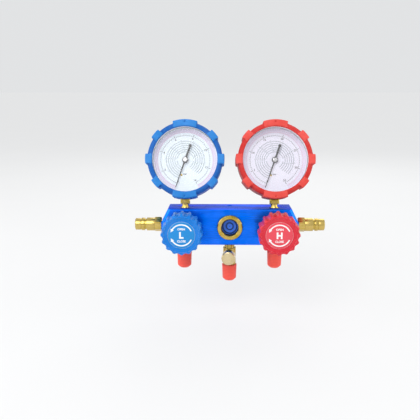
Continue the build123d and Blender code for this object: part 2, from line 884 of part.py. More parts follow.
def sector_gear():
    """A toothed sector on its pivot, with the tail that the link pulls."""
    root = sector_pitch_radius - 1.25 * gear_module
    tip = sector_pitch_radius + 0.8 * gear_module
    pitch = 360 / sector_full_teeth
    towards_pinion = sector_pivot_angle + 180
    first = towards_pinion - sector_lead_teeth * pitch
    span = sector_teeth * pitch
    rim = Plane.XZ * Pos(root - 1, gear_thickness / 2) * Rectangle(2, gear_thickness)
    sector = Rot(Z=first - pitch / 2) * revolve(rim, Axis.Z, revolution_arc=span)
    tooth = gear_tooth(sector_pitch_radius, sector_full_teeth, root, tip)
    for i in range(sector_teeth):
        sector += Rot(Z=first + i * pitch) * extrude(tooth, gear_thickness)
    for edge in (first, first + span / 2 - pitch / 2, first + span - pitch):
        sector += flat_bar(1.4, (0, 0), polar(root - 1, edge), 0, gear_thickness)
    tail = polar(sector_tail, sector_pivot_angle)
    sector += flat_bar(sector_arm_width, (0, 0), tail, 0, gear_thickness)
    sector = Pos(*sector_pivot(), gear_height) * sector
    pin_low, pin_high = back_plate_top + fit_gap, front_plate_bottom - fit_gap
    sector += Pos(*sector_pivot(), 0) * rod(sector_arm_width, pin_low, pin_high)
    pin = rod(pivot_pin, gear_height, link_low + link_thickness)
    return sector + Pos(*sector_tail_end(), 0) * pin


def link():
    """The strip between the tube's tip and the sector's tail."""
    high = link_low + link_thickness
    bar = flat_bar(link_width, sector_tail_end(), link_outer_end(), link_low, high)
    hole = rod(pivot_pin + 2 * fit_gap, link_low, high)
    return bar - Pos(*sector_tail_end(), 0) * hole


def hairspring():
    """A flat spiral of half circles round the arbor, with its outer end held by the movement."""
    height = gear_height + gear_thickness + hairspring_gap
    inner, outer = [], []
    for i in range(2 * hairspring_turns):
        radius = hairspring_inner + (i + 0.5) * hairspring_pitch / 2
        shift = hairspring_pitch / 4 * (1 if i % 2 else -1)
        start = 180 if i % 2 else 0
        for line, r in ((inner, radius), (outer, radius + hairspring_strip)):
            line.append(CenterArc((shift, 0), r, start, 180))
    first, last = inner[0] @ 0, inner[-1] @ 1
    ends = [Line(first, outer[0] @ 0), Line(last, outer[-1] @ 1)]
    strip = make_face(Wire(inner + outer + ends))
    return Pos(0, 0, height) * extrude(strip, hairspring_height)


def movement_frame():
    """Two plates on the socket's head, joined by a pillar past the pinion."""
    pillar_at = polar(pillar_offset, sector_pivot_angle - 180)
    rounds = [Circle(plate_arbor_round / 2), Pos(*sector_pivot()) * Circle(plate_pivot_round / 2)]
    rounds += [Pos(*pillar_at) * Circle(pillar_diameter / 2 + plate_margin)]
    feet = [Pos(x, socket_head_top - plate_foot_depth) for x in (-plate_foot_offset, plate_foot_offset)]
    rounds += [foot * Circle(plate_foot_round / 2) for foot in feet]
    plate = make_hull([edge for disc in rounds for edge in disc.edges()])
    back = Pos(0, 0, back_plate_top - plate_thickness) * extrude(plate, plate_thickness)
    front = Pos(0, 0, front_plate_bottom) * extrude(plate, plate_thickness)
    front += flat_bar(
        dial_bridge_width, *[(x, 0) for x in dial_screw_places()], front_plate_bottom, front_plate_top
    )
    pillar = rod(pillar_diameter, back_plate_top, front_plate_bottom)
    frame = back + front + Pos(*pillar_at, 0) * pillar
    frame -= rod(arbor_diameter + fit_gap, back_plate_top - plate_thickness, dial_height)
    for x in dial_screw_places():
        frame -= Pos(x, 0, 0) * rod(1.2, front_plate_bottom, front_plate_top)
    return frame


# ---------------------------------------------------------------- assembly


def manifold_nodes():
    nodes = {
        "manifold_block": manifold_block(),
        "sight_glass_ring": front_frame(0) * sight_glass_ring(),
        "sight_glass_seal": front_frame(0) * sight_glass_seal(),
        "sight_glass_window": front_frame(0) * sight_glass_window(),
        "centre_tee": centre_tee(),
        "centre_valve_core": branch_frame() * centre_valve_core(),
        "centre_access_cap": branch_frame() * Pos(0, 0, branch_reach) * access_cap(),
        "centre_port_cap": port_frame(0) * Pos(0, 0, tee_thread_start + fit_gap) * push_cap(),
    }
    for name, side in SIDES.items():
        x = side * valve_station
        front, under = front_frame(x), port_frame(x)
        nodes[f"{name}_valve_bonnet"] = front * valve_bonnet()
        nodes[f"{name}_stem_seals"] = front * stem_seals()
        nodes[f"{name}_seat_disc"] = front * seat_disc()
        nodes[f"{name}_valve_spindle"] = front * valve_spindle()
        nodes[f"{name}_handwheel"] = front * handwheel()
        nodes[f"{name}_handwheel_label"] = front * handwheel_label()
        nodes[f"{name}_handwheel_screw"] = front * handwheel_screw()
        nodes[f"{name}_hose_port"] = under * hose_port()
        cap_seat = Pos(0, 0, port_thread_start + fit_gap)
        nodes[f"{name}_port_cap"] = under * cap_seat * push_cap()
        nodes[f"{name}_parking_stub"] = end_frame(side) * parking_stub()
    return nodes


def gauge_nodes(name, side):
    face = face_frame(side)
    pieces = {
        "gauge_case": gauge_case(),
        "gauge_boot": boot(),
        "gauge_vent_plug": vent_plug(),
        "gauge_bezel": bezel(),
        "gauge_lens": lens(),
        "gauge_dial": dial(),
        "gauge_dial_screws": dial_screws(),
        "gauge_pointer": pointer(),
        "gauge_socket": socket(),
        "bourdon_tube": bourdon_tube(),
        "movement_frame": movement_frame(),
        "pinion_arbor": pinion_arbor(),
        "sector_gear": sector_gear(),
        "tube_link": link(),
        "hairspring": hairspring(),
    }
    return {f"{name}_{piece}": face * shape for piece, shape in pieces.items()}


def main():
    os.makedirs("parts", exist_ok=True)
    nodes = manifold_nodes()
    for name, side in SIDES.items():
        nodes.update(gauge_nodes(name, side))
    for name, shape in nodes.items():
        export_step(shape, f"parts/{name}.step")


main()
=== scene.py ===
"""Dresses the two-gauge refrigerant manifold: finishes, print, threads and a plain studio."""

import json
from math import cos, hypot, radians, sin

import bpy
from mathutils import Matrix, Vector


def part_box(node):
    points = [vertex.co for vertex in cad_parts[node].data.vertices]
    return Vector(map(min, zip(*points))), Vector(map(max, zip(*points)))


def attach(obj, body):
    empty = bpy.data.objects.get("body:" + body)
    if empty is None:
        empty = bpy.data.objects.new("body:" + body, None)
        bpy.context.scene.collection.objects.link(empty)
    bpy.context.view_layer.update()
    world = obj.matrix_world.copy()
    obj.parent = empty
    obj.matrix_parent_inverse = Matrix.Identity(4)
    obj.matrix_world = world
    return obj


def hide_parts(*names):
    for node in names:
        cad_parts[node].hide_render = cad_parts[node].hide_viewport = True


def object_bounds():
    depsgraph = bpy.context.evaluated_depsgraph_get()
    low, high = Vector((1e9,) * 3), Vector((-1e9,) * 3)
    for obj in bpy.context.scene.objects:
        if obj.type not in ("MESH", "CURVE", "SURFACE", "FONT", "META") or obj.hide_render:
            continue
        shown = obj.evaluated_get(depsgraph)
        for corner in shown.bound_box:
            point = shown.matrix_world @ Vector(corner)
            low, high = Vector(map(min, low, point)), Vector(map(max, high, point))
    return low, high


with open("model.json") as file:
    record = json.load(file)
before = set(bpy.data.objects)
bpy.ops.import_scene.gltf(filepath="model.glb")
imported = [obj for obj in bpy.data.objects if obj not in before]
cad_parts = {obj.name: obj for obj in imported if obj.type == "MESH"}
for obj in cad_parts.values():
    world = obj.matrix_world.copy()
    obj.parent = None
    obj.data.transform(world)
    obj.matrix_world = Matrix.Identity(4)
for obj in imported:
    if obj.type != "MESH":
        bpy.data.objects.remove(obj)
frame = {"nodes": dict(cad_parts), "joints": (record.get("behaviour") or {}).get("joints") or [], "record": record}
CAD_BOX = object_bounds()

bl_info = {
    "name": "Refrigerant manifold gauge",
    "version": (1, 0, 0),
    "blender": (4, 5, 0),
    "location": "View3D > Sidebar > Manifold",
    "description": "Dresses a refrigerant manifold with its gauges and sets it in a plain studio",
    "category": "Object",
}

MM = 0.001
SIDES = ("low", "high")
HUES = {"low": "blue", "high": "red"}


# ---------------------------------------------------------------- settings


def length(name, text, millimetres):
    return bpy.props.FloatProperty(
        name=name, description=text, default=millimetres * MM, unit="LENGTH", precision=5
    )


def colour(name, text, rgb):
    return bpy.props.FloatVectorProperty(
        name=name, description=text, default=rgb, subtype="COLOR", size=3, min=0, max=1
    )


def turn(name, text, angle):
    return bpy.props.FloatProperty(
        name=name, description=text, default=radians(angle), unit="ROTATION"
    )


def number(name, text, value):
    return bpy.props.FloatProperty(name=name, description=text, default=value)


def count(name, text, value):
    return bpy.props.IntProperty(name=name, description=text, default=value, min=1)


class FinishSettings(bpy.types.PropertyGroup):
    block: colour("Block", "Anodised block", (0.0, 0.17, 1.0))
    brass: colour("Brass", "Turned brass fittings", (0.56, 0.385, 0.042))
    boot_blue: colour("Low boot", "Rubber boot of the low gauge", (0.0, 0.11, 0.45))
    boot_red: colour("High boot", "Rubber boot of the high gauge", (0.6, 0.02, 0.015))
    pad_blue: colour("Low pads", "Raised pads of the low boot", (0.02, 0.22, 0.64))
    pad_red: colour("High pads", "Raised pads of the high boot", (0.76, 0.07, 0.055))
    wheel_blue: colour("Low wheel", "Low handwheel", (0.0, 0.19, 0.66))
    wheel_red: colour("High wheel", "High handwheel", (0.66, 0.02, 0.04))
    label_blue: colour("Low label", "Low wheel's label", (0.0, 0.24, 0.64))
    label_red: colour("High label", "High wheel's label", (0.76, 0.06, 0.09))
    cap: colour("Port cap", "Rubber port caps", (0.95, 0.1, 0.07))
    dial_blue: colour("Low dial", "Printed plate of the low gauge", (0.86, 0.94, 1.0))
    dial_red: colour("High dial", "Printed plate of the high gauge", (0.84, 0.84, 0.96))
    ink: colour("Ink", "Black print", (0.03, 0.03, 0.04))
    grey_ink: colour("Grey ink", "Fine rings of the dial", (0.09, 0.15, 0.18))
    pink_ink: colour("Pink ink", "Outer scale of the dial", (0.72, 0.38, 0.48))
    lilac_ink: colour("Lilac ink", "Tint behind the outer scale", (0.79, 0.73, 0.89))
    white_ink: colour("White ink", "Print on the wheels' labels", (0.9, 0.9, 0.9))


class DialSettings(bpy.types.PropertyGroup):
    zero: turn("Zero", "Angle of zero, clockwise from twelve o'clock", 199.0)
    sweep: turn("Sweep", "Angle from zero to full scale", 315.0)
    intervals: count("Numbered steps", "Steps between printed numbers", 7)
    subdivisions: count("Fine steps", "Fine ticks in a numbered step", 10)
    scale_radius: length("Scale radius", "Inner end of the ticks", 25.2)
    tick: length("Tick", "Length of a fine tick", 0.9)
    long_tick: length("Long tick", "Length of a numbered tick", 2.2)
    tick_width: length("Tick width", "Width of a fine tick", 0.24)
    number_radius: length("Number radius", "Circle that the numbers are centred on", 23.2)
    number_size: length("Number size", "Height of the numbers", 2.2)
    band_radius: length("Band radius", "Line of the outer tinted scale", 28.9)
    band_width: length("Band width", "From that line to the outer ends of its ticks", 3.0)
    ink_height: length("Ink", "Thickness of the print", 0.03)
    rings: count("Fine rings", "Fine scales inside the numbers", 6)
    ring_radius: length("First ring", "Radius of the innermost fine scale", 8.4)
    ring_gap: length("Ring gap", "From one fine scale to the next", 2.2)
    ring_width: length("Ring width", "Width of the fine scales' lines", 0.26)
    ring_tick: length("Ring tick", "Length of the fine scales' ticks", 0.9)
    ring_figure: length("Ring figure", "Height of the fine scales' figures", 0.75)
    figure_offset: length("Figure offset", "From a fine scale's line to its figures", 1.45)
    unit_drop: length("Unit place", "The unit's name below the centre", 14.5)
    cap_radius: length("Pointer cap", "Radius of the cap over the pointer's boss", 2.3)
    screw_radius: length("Zero screw", "Radius of the zero screw's head", 1.1)
    screw_place: length("Screw place", "From the dial's centre to the zero screw", 16.0)
    screw_angle: turn("Screw angle", "Where the zero screw sits, clockwise from twelve", 194.0)


class FormSettings(bpy.types.PropertyGroup):
    boot_grid: length("Boot mesh", "Grid that rounds the rubber boots", 0.62)
    boot_smooth: count("Boot rounding", "Rounds of smoothing on the boots", 4)
    pad_face: length("Pad face", "Depth of the paler rubber from the pads' front", 0.8)
    pad_side: length("Pad side", "Depth of the paler rubber from the pads' rim", 1.7)
    thread_pitch: length("Thread pitch", "From one crest of a flare thread to the next", 1.2)
    thread_depth: length("Thread depth", "Depth of the flare threads", 0.55)
    thread_lead: length("Thread lead", "Plain length before the thread starts", 0.8)
    thread_stop: length("Thread stop", "From the thread's end to the top of its cap", 0.4)


class WheelSettings(bpy.types.PropertyGroup):
    arc_radius: length("Arrow radius", "Middle line of the two arrows", 10.4)
    arc_width: length("Arrow width", "Width of the arrows' lines", 1.25)
    arc_start: turn("Arrow tail", "Where each arrow's line starts, from three o'clock", 24.0)
    arc_end: turn("Arrow head", "Where each arrow's line ends, from three o'clock", 146.0)
    head_length: length("Arrowhead", "Length of the arrowheads", 3.2)
    head_width: length("Arrowhead width", "Width of the arrowheads", 3.4)
    letter: length("Letter", "Height of the letter", 6.0)
    word: length("Word", "Height of the words", 2.0)
    word_height: length("Word place", "Height of the words above and below the centre", 6.0)
    print_height: length("Print", "Thickness of the print", 0.04)
    # The pale rings on the wheel's rim and on the label's edge are a painted highlight, where their bevels would
    # catch the light.
    rim_inner: length("Rim edge inside", "Where the wheel's pale worn edge starts", 16.6)
    rim_outer: length("Rim edge outside", "Where the wheel's pale worn edge ends", 18.4)
    label_inner: length("Label edge inside", "Where the label's pale edge starts", 12.6)
    label_outer: length("Label edge outside", "Where the label's pale edge ends", 13.6)


class StudioSettings(bpy.types.PropertyGroup):
    elevation: turn("Elevation", "Camera height above the horizon", 11.93)
    azimuth: turn("Azimuth", "Camera turn to the side", -0.98)
    distance: length("Distance", "From the camera to the point it looks at", 600.0)
    focal: bpy.props.FloatProperty(
        name="Focal length", description="Camera focal length", default=49.55, unit="CAMERA"
    )
    aim_x: length("Aim X", "Point the camera looks at, across", -20.45)
    aim_z: length("Aim Z", "Point the camera looks at, up", -3.41)
    floor_gap: length("Floor gap", "Floor below the hanging manifold", 30.0)
    world: number("World", "Strength of the white surroundings", 0.62)
    key: number("Key", "Power of the main lamp, in watts", 9.0)
    fill: number("Fill", "Power of each side lamp, in watts", 3.5)
    back: number("Back", "Power of the lamp behind", 4.0)


GROUPS = {
    "manifold_finish": FinishSettings,
    "manifold_dial": DialSettings,
    "manifold_form": FormSettings,
    "manifold_wheel": WheelSettings,
    "manifold_studio": StudioSettings,
}


def settings(name):
    return getattr(bpy.context.scene, "manifold_" + name)


# ---------------------------------------------------------------- working by hand, in code


def pick_only(obj):
    """Nothing is selected but this object, which is active."""
    if bpy.context.object and bpy.context.object.mode != "OBJECT":
        bpy.ops.object.mode_set(mode="OBJECT")
    bpy.ops.object.select_all(action="DESELECT")
    obj.select_set(True)
    bpy.context.view_layer.objects.active = obj


def edit(obj, kind="VERT"):
    pick_only(obj)
    bpy.ops.object.mode_set(mode="EDIT")
    bpy.ops.mesh.select_mode(type=kind)
    bpy.ops.mesh.select_all(action="DESELECT")


def leave_edit():
    bpy.ops.object.mode_set(mode="OBJECT")


def choose(obj, items, test):
    """Selects vertices, edges or polygons by a test on each, from object mode and back into edit mode."""
    leave_edit()
    for item in getattr(obj.data, items):
        item.select = bool(test(item))
    bpy.ops.object.mode_set(mode="EDIT")


def modify(obj, kind, **values):
    """Adds a modifier, sets it and applies it."""
    pick_only(obj)
    modifier = obj.modifiers.new(kind.title(), kind)
    for key, value in values.items():
        setattr(modifier, key, value)
    bpy.ops.object.modifier_apply(modifier=modifier.name)


def apply_place(obj):
    pick_only(obj)
    bpy.ops.object.transform_apply(location=True, rotation=True, scale=True)


def join(objects, name):
    """Several objects become one."""
    pick_only(objects[0])
    for obj in objects:
        obj.select_set(True)
    bpy.ops.object.join()
    joined = bpy.context.object
    joined.name = joined.data.name = name
    return joined


def put(obj, place):
    """Moves a piece built round the origin to its place on the manifold, and leaves the place in its mesh."""
    apply_place(obj)
    obj.matrix_world = place
    apply_place(obj)
    return obj


def hand_over(obj, name, body, material, replaces=(), smooth=35.0):
    """The last step of each piece: name, finish, shading, the body it rides on and what it stands for."""
    obj.name = obj.data.name = name
    if material:
        obj.data.materials.clear()
        obj.data.materials.append(material)
    pick_only(obj)
    bpy.ops.object.shade_smooth_by_angle(angle=radians(smooth))
    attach(obj, body)
    if replaces:
        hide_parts(*replaces)
    return obj


def copy_of(node, name):
    """A loose copy of a CAD node as a clean mesh: corners merged and flat areas whole."""
    source = frame["nodes"][node]
    obj = bpy.data.objects.new(name, source.data.copy())
    bpy.context.scene.collection.objects.link(obj)
    edit(obj)
    bpy.ops.mesh.select_all(action="SELECT")
    bpy.ops.mesh.remove_doubles(threshold=0.002 * MM)
    bpy.ops.mesh.dissolve_limited(angle_limit=radians(0.6))
    leave_edit()
    return obj


def soften(obj, width, segments=2, angle=30.0):
    """Rounds the sharp edges."""
    modify(
        obj,
        "BEVEL",
        width=width * MM,
        segments=segments,
        limit_method="ANGLE",
        angle_limit=radians(angle),
        miter_outer="MITER_ARC",
        use_clamp_overlap=True,
    )


def band(inner, outer, start, end, steps):
    """A flat arc band round the origin, spun from one radial edge. Angles in radians, anticlockwise."""
    bpy.ops.mesh.primitive_plane_add(size=outer - inner, location=((inner + outer) / 2, 0, 0))
    obj = bpy.context.object
    apply_place(obj)
    edit(obj)
    choose(obj, "vertices", lambda v: v.co.y > 0)
    bpy.ops.mesh.delete(type="VERT")
    bpy.ops.mesh.select_all(action="SELECT")
    bpy.ops.transform.resize(value=(1, 0, 1), center_override=(0, 0, 0))
    leave_edit()
    obj.rotation_euler.z = start
    apply_place(obj)
    edit(obj)
    bpy.ops.mesh.select_all(action="SELECT")
    bpy.ops.mesh.spin(steps=steps, angle=start - end, center=(0, 0, 0), axis=(0, 0, 1))
    bpy.ops.mesh.select_all(action="SELECT")
    bpy.ops.mesh.remove_doubles(threshold=0.001 * MM)
    leave_edit()
    return obj


def strokes(inner, outer, width, angles):
    """Straight radial strokes round the origin, one at each angle."""
    made = []
    for angle in angles:
        bpy.ops.mesh.primitive_plane_add(size=1)
        stroke = bpy.context.object
        stroke.scale = (outer - inner, width, 1)
        middle = (inner + outer) / 2
        stroke.location = (middle * cos(angle), middle * sin(angle), 0)
        stroke.rotation_euler.z = angle
        made.append(stroke)
    obj = join(made, "strokes")
    apply_place(obj)
    return obj


def lettering(text, size, x, y, weight=0.02):
    """Flat letters centred on a point, as a mesh."""
    bpy.ops.object.text_add(location=(0, 0, 0))
    obj = bpy.context.object
    obj.data.body = text
    obj.data.size = size * 1.4
    obj.data.align_x = "CENTER"
    obj.data.resolution_u = 3
    obj.data.offset = size * weight
    pick_only(obj)
    bpy.ops.object.convert(target="MESH")
    obj = bpy.context.object
    middle = sum((Vector(c) for c in obj.bound_box), Vector()) / 8
    obj.location = (x - middle.x, y - middle.y, 0)
    apply_place(obj)
    return obj


def ink(obj, height):
    """Gives flat print its thickness, upwards from the surface it lies on."""
    edit(obj, "FACE")
    choose(obj, "polygons", lambda face: face.normal.z < 0)
    bpy.ops.mesh.flip_normals()
    leave_edit()
    modify(obj, "SOLIDIFY", thickness=height, offset=1.0)


# ---------------------------------------------------------------- places, from the frame


def joint(name):
    return next(j for j in frame["joints"] if j["name"] == name)


def place(origin, normal):
    """A frame at a point with Z along a normal and X across the manifold."""
    z = Vector(normal).normalized()
    x = Vector((1, 0, 0))
    y = z.cross(x)
    turned = Matrix((x, y, z)).transposed().to_4x4()
    return Matrix.Translation(Vector(origin)) @ turned


def gauge_place(side):
    """Z leaves the gauge's face on the pointer's axis, and Y points at twelve o'clock."""
    hinge = joint(f"{side}_needle_turn")
    return place(hinge["pos_m"], -Vector(hinge["axis"]))


def heights(node, frame_place):
    """Lowest and highest point of a node along a place's Z axis."""
    down = frame_place.inverted()
    zs = [(down @ v.co).z for v in frame["nodes"][node].data.vertices]
    return min(zs), max(zs)


def reach(node, frame_place):
    """Largest radius of a node round a place's Z axis."""
    down = frame_place.inverted()
    points = [down @ v.co for v in frame["nodes"][node].data.vertices]
    return max(hypot(p.x, p.y) for p in points)


# ---------------------------------------------------------------- materials


def new_material(name):
    """A material with its nodes, the shader and the coordinates that its textures read."""
    material = bpy.data.materials.new(name)
    material.use_nodes = True
    nodes = material.node_tree.nodes
    shader = nodes["Principled BSDF"]
    coordinates = nodes.new("ShaderNodeTexCoord")
    return material, nodes, material.node_tree.links, shader, coordinates.outputs["Object"]


def speckle(nodes, links, where, scale, detail=3.0, stretch=None):
    """Noise on the object's own coordinates, stretched along an axis if asked."""
    noise = nodes.new("ShaderNodeTexNoise")
    noise.inputs["Scale"].default_value = scale
    noise.inputs["Detail"].default_value = detail
    if stretch:
        mapping = nodes.new("ShaderNodeMapping")
        mapping.inputs["Scale"].default_value = stretch
        links.new(where, mapping.inputs["Vector"])
        where = mapping.outputs["Vector"]
    links.new(where, noise.inputs["Vector"])
    return noise.outputs["Fac"]


def between(nodes, links, factor, low, high, start=0.3, end=0.7):
    """A value from low to high as a texture goes from start to end."""
    spread = nodes.new("ShaderNodeMapRange")
    spread.inputs["From Min"].default_value = start
    spread.inputs["From Max"].default_value = end
    spread.inputs["To Min"].default_value = low
    spread.inputs["To Max"].default_value = high
    links.new(factor, spread.inputs["Value"])
    return spread.outputs["Result"]


def shades(nodes, links, factor, dark, light, start=0.3, end=0.7):
    """A colour from dark to light as a texture goes from start to end."""
    ramp = nodes.new("ShaderNodeValToRGB")
    ramp.color_ramp.elements[0].position = start
    ramp.color_ramp.elements[1].position = end
    ramp.color_ramp.elements[0].color = (*dark, 1)
    ramp.color_ramp.elements[1].color = (*light, 1)
    links.new(factor, ramp.inputs["Fac"])
    return ramp.outputs["Color"]


def raise_surface(nodes, links, shader, factor, strength, distance):
    bump = nodes.new("ShaderNodeBump")
    bump.inputs["Strength"].default_value = strength
    bump.inputs["Distance"].default_value = distance * MM
    links.new(factor, bump.inputs["Height"])
    links.new(bump.outputs["Normal"], shader.inputs["Normal"])


def darker(rgb, share):
    return tuple(c * share for c in rgb)


def lighter(rgb, share):
    return tuple(c + (1 - c) * share for c in rgb)


def anodised(name, rgb):
    """Dyed aluminium: fine lines along the bar, and a little cloudiness in the dye."""
    material, nodes, links, shader, where = new_material(name)
    shader.inputs["Metallic"].default_value = 0.6
    shader.inputs["Specular IOR Level"].default_value = 0.15
    shader.inputs["Specular Tint"].default_value = (0.03, 0.14, 0.6, 1)
    cloud = speckle(nodes, links, where, 60, 4)
    tone = shades(nodes, links, cloud, darker(rgb, 0.86), lighter(rgb, 0.02))
    links.new(tone, shader.inputs["Base Color"])
    lines = speckle(nodes, links, where, 400, 2, (0.04, 1, 1))
    links.new(between(nodes, links, lines, 0.2, 0.34), shader.inputs["Roughness"])
    raise_surface(nodes, links, shader, lines, 0.12, 0.02)
    return material


def lathe_marks(nodes, links, where, axis, centre, spacing, kinds=("RINGS", "BANDS")):
    """Rings round an axis on the ends of a piece, and bands along it on its side."""
    mapping = nodes.new("ShaderNodeMapping")
    mapping.inputs["Location"].default_value = [-c for c in centre]
    links.new(where, mapping.inputs["Vector"])
    total = nodes.new("ShaderNodeMath")
    total.operation = "ADD"
    for socket, kind in enumerate(kinds):
        wave = nodes.new("ShaderNodeTexWave")
        wave.wave_type = kind
        wave.rings_direction = wave.bands_direction = axis
        wave.inputs["Scale"].default_value = 0.314 / (spacing * MM)
        wave.inputs["Distortion"].default_value = 1.2
        wave.inputs["Detail"].default_value = 2.0
        links.new(mapping.outputs["Vector"], wave.inputs["Vector"])
        links.new(wave.outputs["Fac"], total.inputs[socket])
    return total.outputs["Value"]


def lathed(name, rgb, axis, centre, spacing, low=0.12, high=0.3):
    """Bright metal as it comes off the lathe, with its tool marks round an axis."""
    material, nodes, links, shader, where = new_material(name)
    shader.inputs["Metallic"].default_value = 1.0
    marks = lathe_marks(nodes, links, where, axis, centre, spacing)
    tone = shades(nodes, links, marks, darker(rgb, 0.82), lighter(rgb, 0.1), 0.2, 1.4)
    links.new(tone, shader.inputs["Base Color"])
    links.new(between(nodes, links, marks, low, high, 0.2, 1.6), shader.inputs["Roughness"])
    raise_surface(nodes, links, shader, marks, 0.2, 0.03)
    return material


def turned_metal(name, rgb, low, high):
    """Bright turned metal with tool marks and a little tarnish."""
    material, nodes, links, shader, where = new_material(name)
    shader.inputs["Metallic"].default_value = 1.0
    tarnish = speckle(nodes, links, where, 180, 5)
    tone = shades(nodes, links, tarnish, darker(rgb, 0.8), lighter(rgb, 0.12))
    links.new(tone, shader.inputs["Base Color"])
    marks = speckle(nodes, links, where, 1500, 2)
    links.new(between(nodes, links, marks, low, high), shader.inputs["Roughness"])
    raise_surface(nodes, links, shader, marks, 0.08, 0.02)
    return material


def rubber(name, rgb, grain=2200, rough=0.5):
    """Moulded rubber with a fine matt grain and slight bloom."""
    material, nodes, links, shader, where = new_material(name)
    bloom = speckle(nodes, links, where, 70, 4)
    tone = shades(nodes, links, bloom, darker(rgb, 0.88), lighter(rgb, 0.03))
    links.new(tone, shader.inputs["Base Color"])
    pores = speckle(nodes, links, where, grain, 2)
    links.new(between(nodes, links, pores, rough - 0.08, rough + 0.1), shader.inputs["Roughness"])
    shader.inputs["Specular IOR Level"].default_value = 0.18
    raise_surface(nodes, links, shader, pores, 0.25, 0.06)
    return material


def ringed_rubber(name, rgb, spacing):
    """Dipped rubber with fine rings down its length."""
    material, nodes, links, shader, where = new_material(name)
    wave = nodes.new("ShaderNodeTexWave")
    wave.bands_direction = "Z"
    wave.inputs["Scale"].default_value = 0.314 / (spacing * MM)
    wave.inputs["Distortion"].default_value = 0.4
    links.new(where, wave.inputs["Vector"])
    rings = wave.outputs["Fac"]
    links.new(shades(nodes, links, rings, darker(rgb, 0.86), rgb, 0.1, 0.6), shader.inputs["Base Color"])
    links.new(between(nodes, links, rings, 0.38, 0.5), shader.inputs["Roughness"])
    shader.inputs["Specular IOR Level"].default_value = 0.35
    raise_surface(nodes, links, shader, rings, 0.5, 0.15)
    return material


def moulded(name, rgb, rough=0.28):
    """Glossy moulded plastic with a faint waviness and handling marks."""
    material, nodes, links, shader, where = new_material(name)
    flow = speckle(nodes, links, where, 45, 3)
    tone = shades(nodes, links, flow, darker(rgb, 0.92), lighter(rgb, 0.02))
    links.new(tone, shader.inputs["Base Color"])
    wear = speckle(nodes, links, where, 320, 6)
    links.new(between(nodes, links, wear, rough - 0.06, rough + 0.12), shader.inputs["Roughness"])
    shader.inputs["Specular IOR Level"].default_value = 0.22
    raise_surface(nodes, links, shader, wear, 0.06, 0.03)
    return material


def printed(name, rgb, rough=0.45):
    """Ink or a printed plate: even, with the least unevenness of the print."""
    material, nodes, links, shader, where = new_material(name)
    film = speckle(nodes, links, where, 900, 2)
    links.new(shades(nodes, links, film, darker(rgb, 0.94), rgb), shader.inputs["Base Color"])
    links.new(between(nodes, links, film, rough - 0.05, rough + 0.05), shader.inputs["Roughness"])
    return material


def clear(name, rgb, alpha):
    """Clear plastic or glass, seen through more than seen."""
    material, nodes, links, shader, where = new_material(name)
    smears = speckle(nodes, links, where, 40, 4)
    links.new(shades(nodes, links, smears, darker(rgb, 0.97), rgb), shader.inputs["Base Color"])
    links.new(between(nodes, links, smears, 0.02, 0.07), shader.inputs["Roughness"])
    shader.inputs["Alpha"].default_value = alpha
    shader.inputs["IOR"].default_value = 1.49
    return material


def sight_glass(name, rgb):
    """Thick glass over a turned cone: rings of the block's colour seen through it, painted into the base colour as
    painted highlight and painted shade in place of the cone's reflections.
    """
    material, nodes, links, shader, where = new_material(name)
    low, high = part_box("sight_glass_window")
    rings = lathe_marks(nodes, links, where, "Y", (low + high) / 2, 3.6, ("RINGS",))
    # Dark to light rings in the base colour: painted highlights and painted shade of the turned cone under the
    # glass.
    tone = shades(nodes, links, rings, darker(rgb, 0.14), lighter(darker(rgb, 0.9), 0.05), 0.6, 1.6)
    links.new(tone, shader.inputs["Base Color"])
    shader.inputs["Roughness"].default_value = 0.08
    shader.inputs["Specular IOR Level"].default_value = 0.2
    return material


def floor_material():
    """Pale paper that keeps shadows, and looks evenly lit to the camera as far as the horizon."""
    material, nodes, links, shader, where = new_material("studio_floor")
    mottle = speckle(nodes, links, where, 6, 3)
    links.new(shades(nodes, links, mottle, (0.78, 0.78, 0.78), (0.8, 0.8, 0.8)), shader.inputs["Base Color"])
    shader.inputs["Roughness"].default_value = 0.9
    glow, path = nodes.new("ShaderNodeEmission"), nodes.new("ShaderNodeLightPath")
    glow.inputs["Color"].default_value = (0.92, 0.93, 0.94, 1)
    half, mix = nodes.new("ShaderNodeMath"), nodes.new("ShaderNodeMixShader")
    half.operation = "MULTIPLY"
    half.inputs[1].default_value = 0.6
    links.new(path.outputs["Is Camera Ray"], half.inputs[0])
    links.new(half.outputs["Value"], mix.inputs["Fac"])
    links.new(shader.outputs["BSDF"], mix.inputs[1])
    links.new(glow.outputs["Emission"], mix.inputs[2])
    links.new(mix.outputs["Shader"], nodes["Material Output"].inputs["Surface"])
    return material


MATERIALS = {}


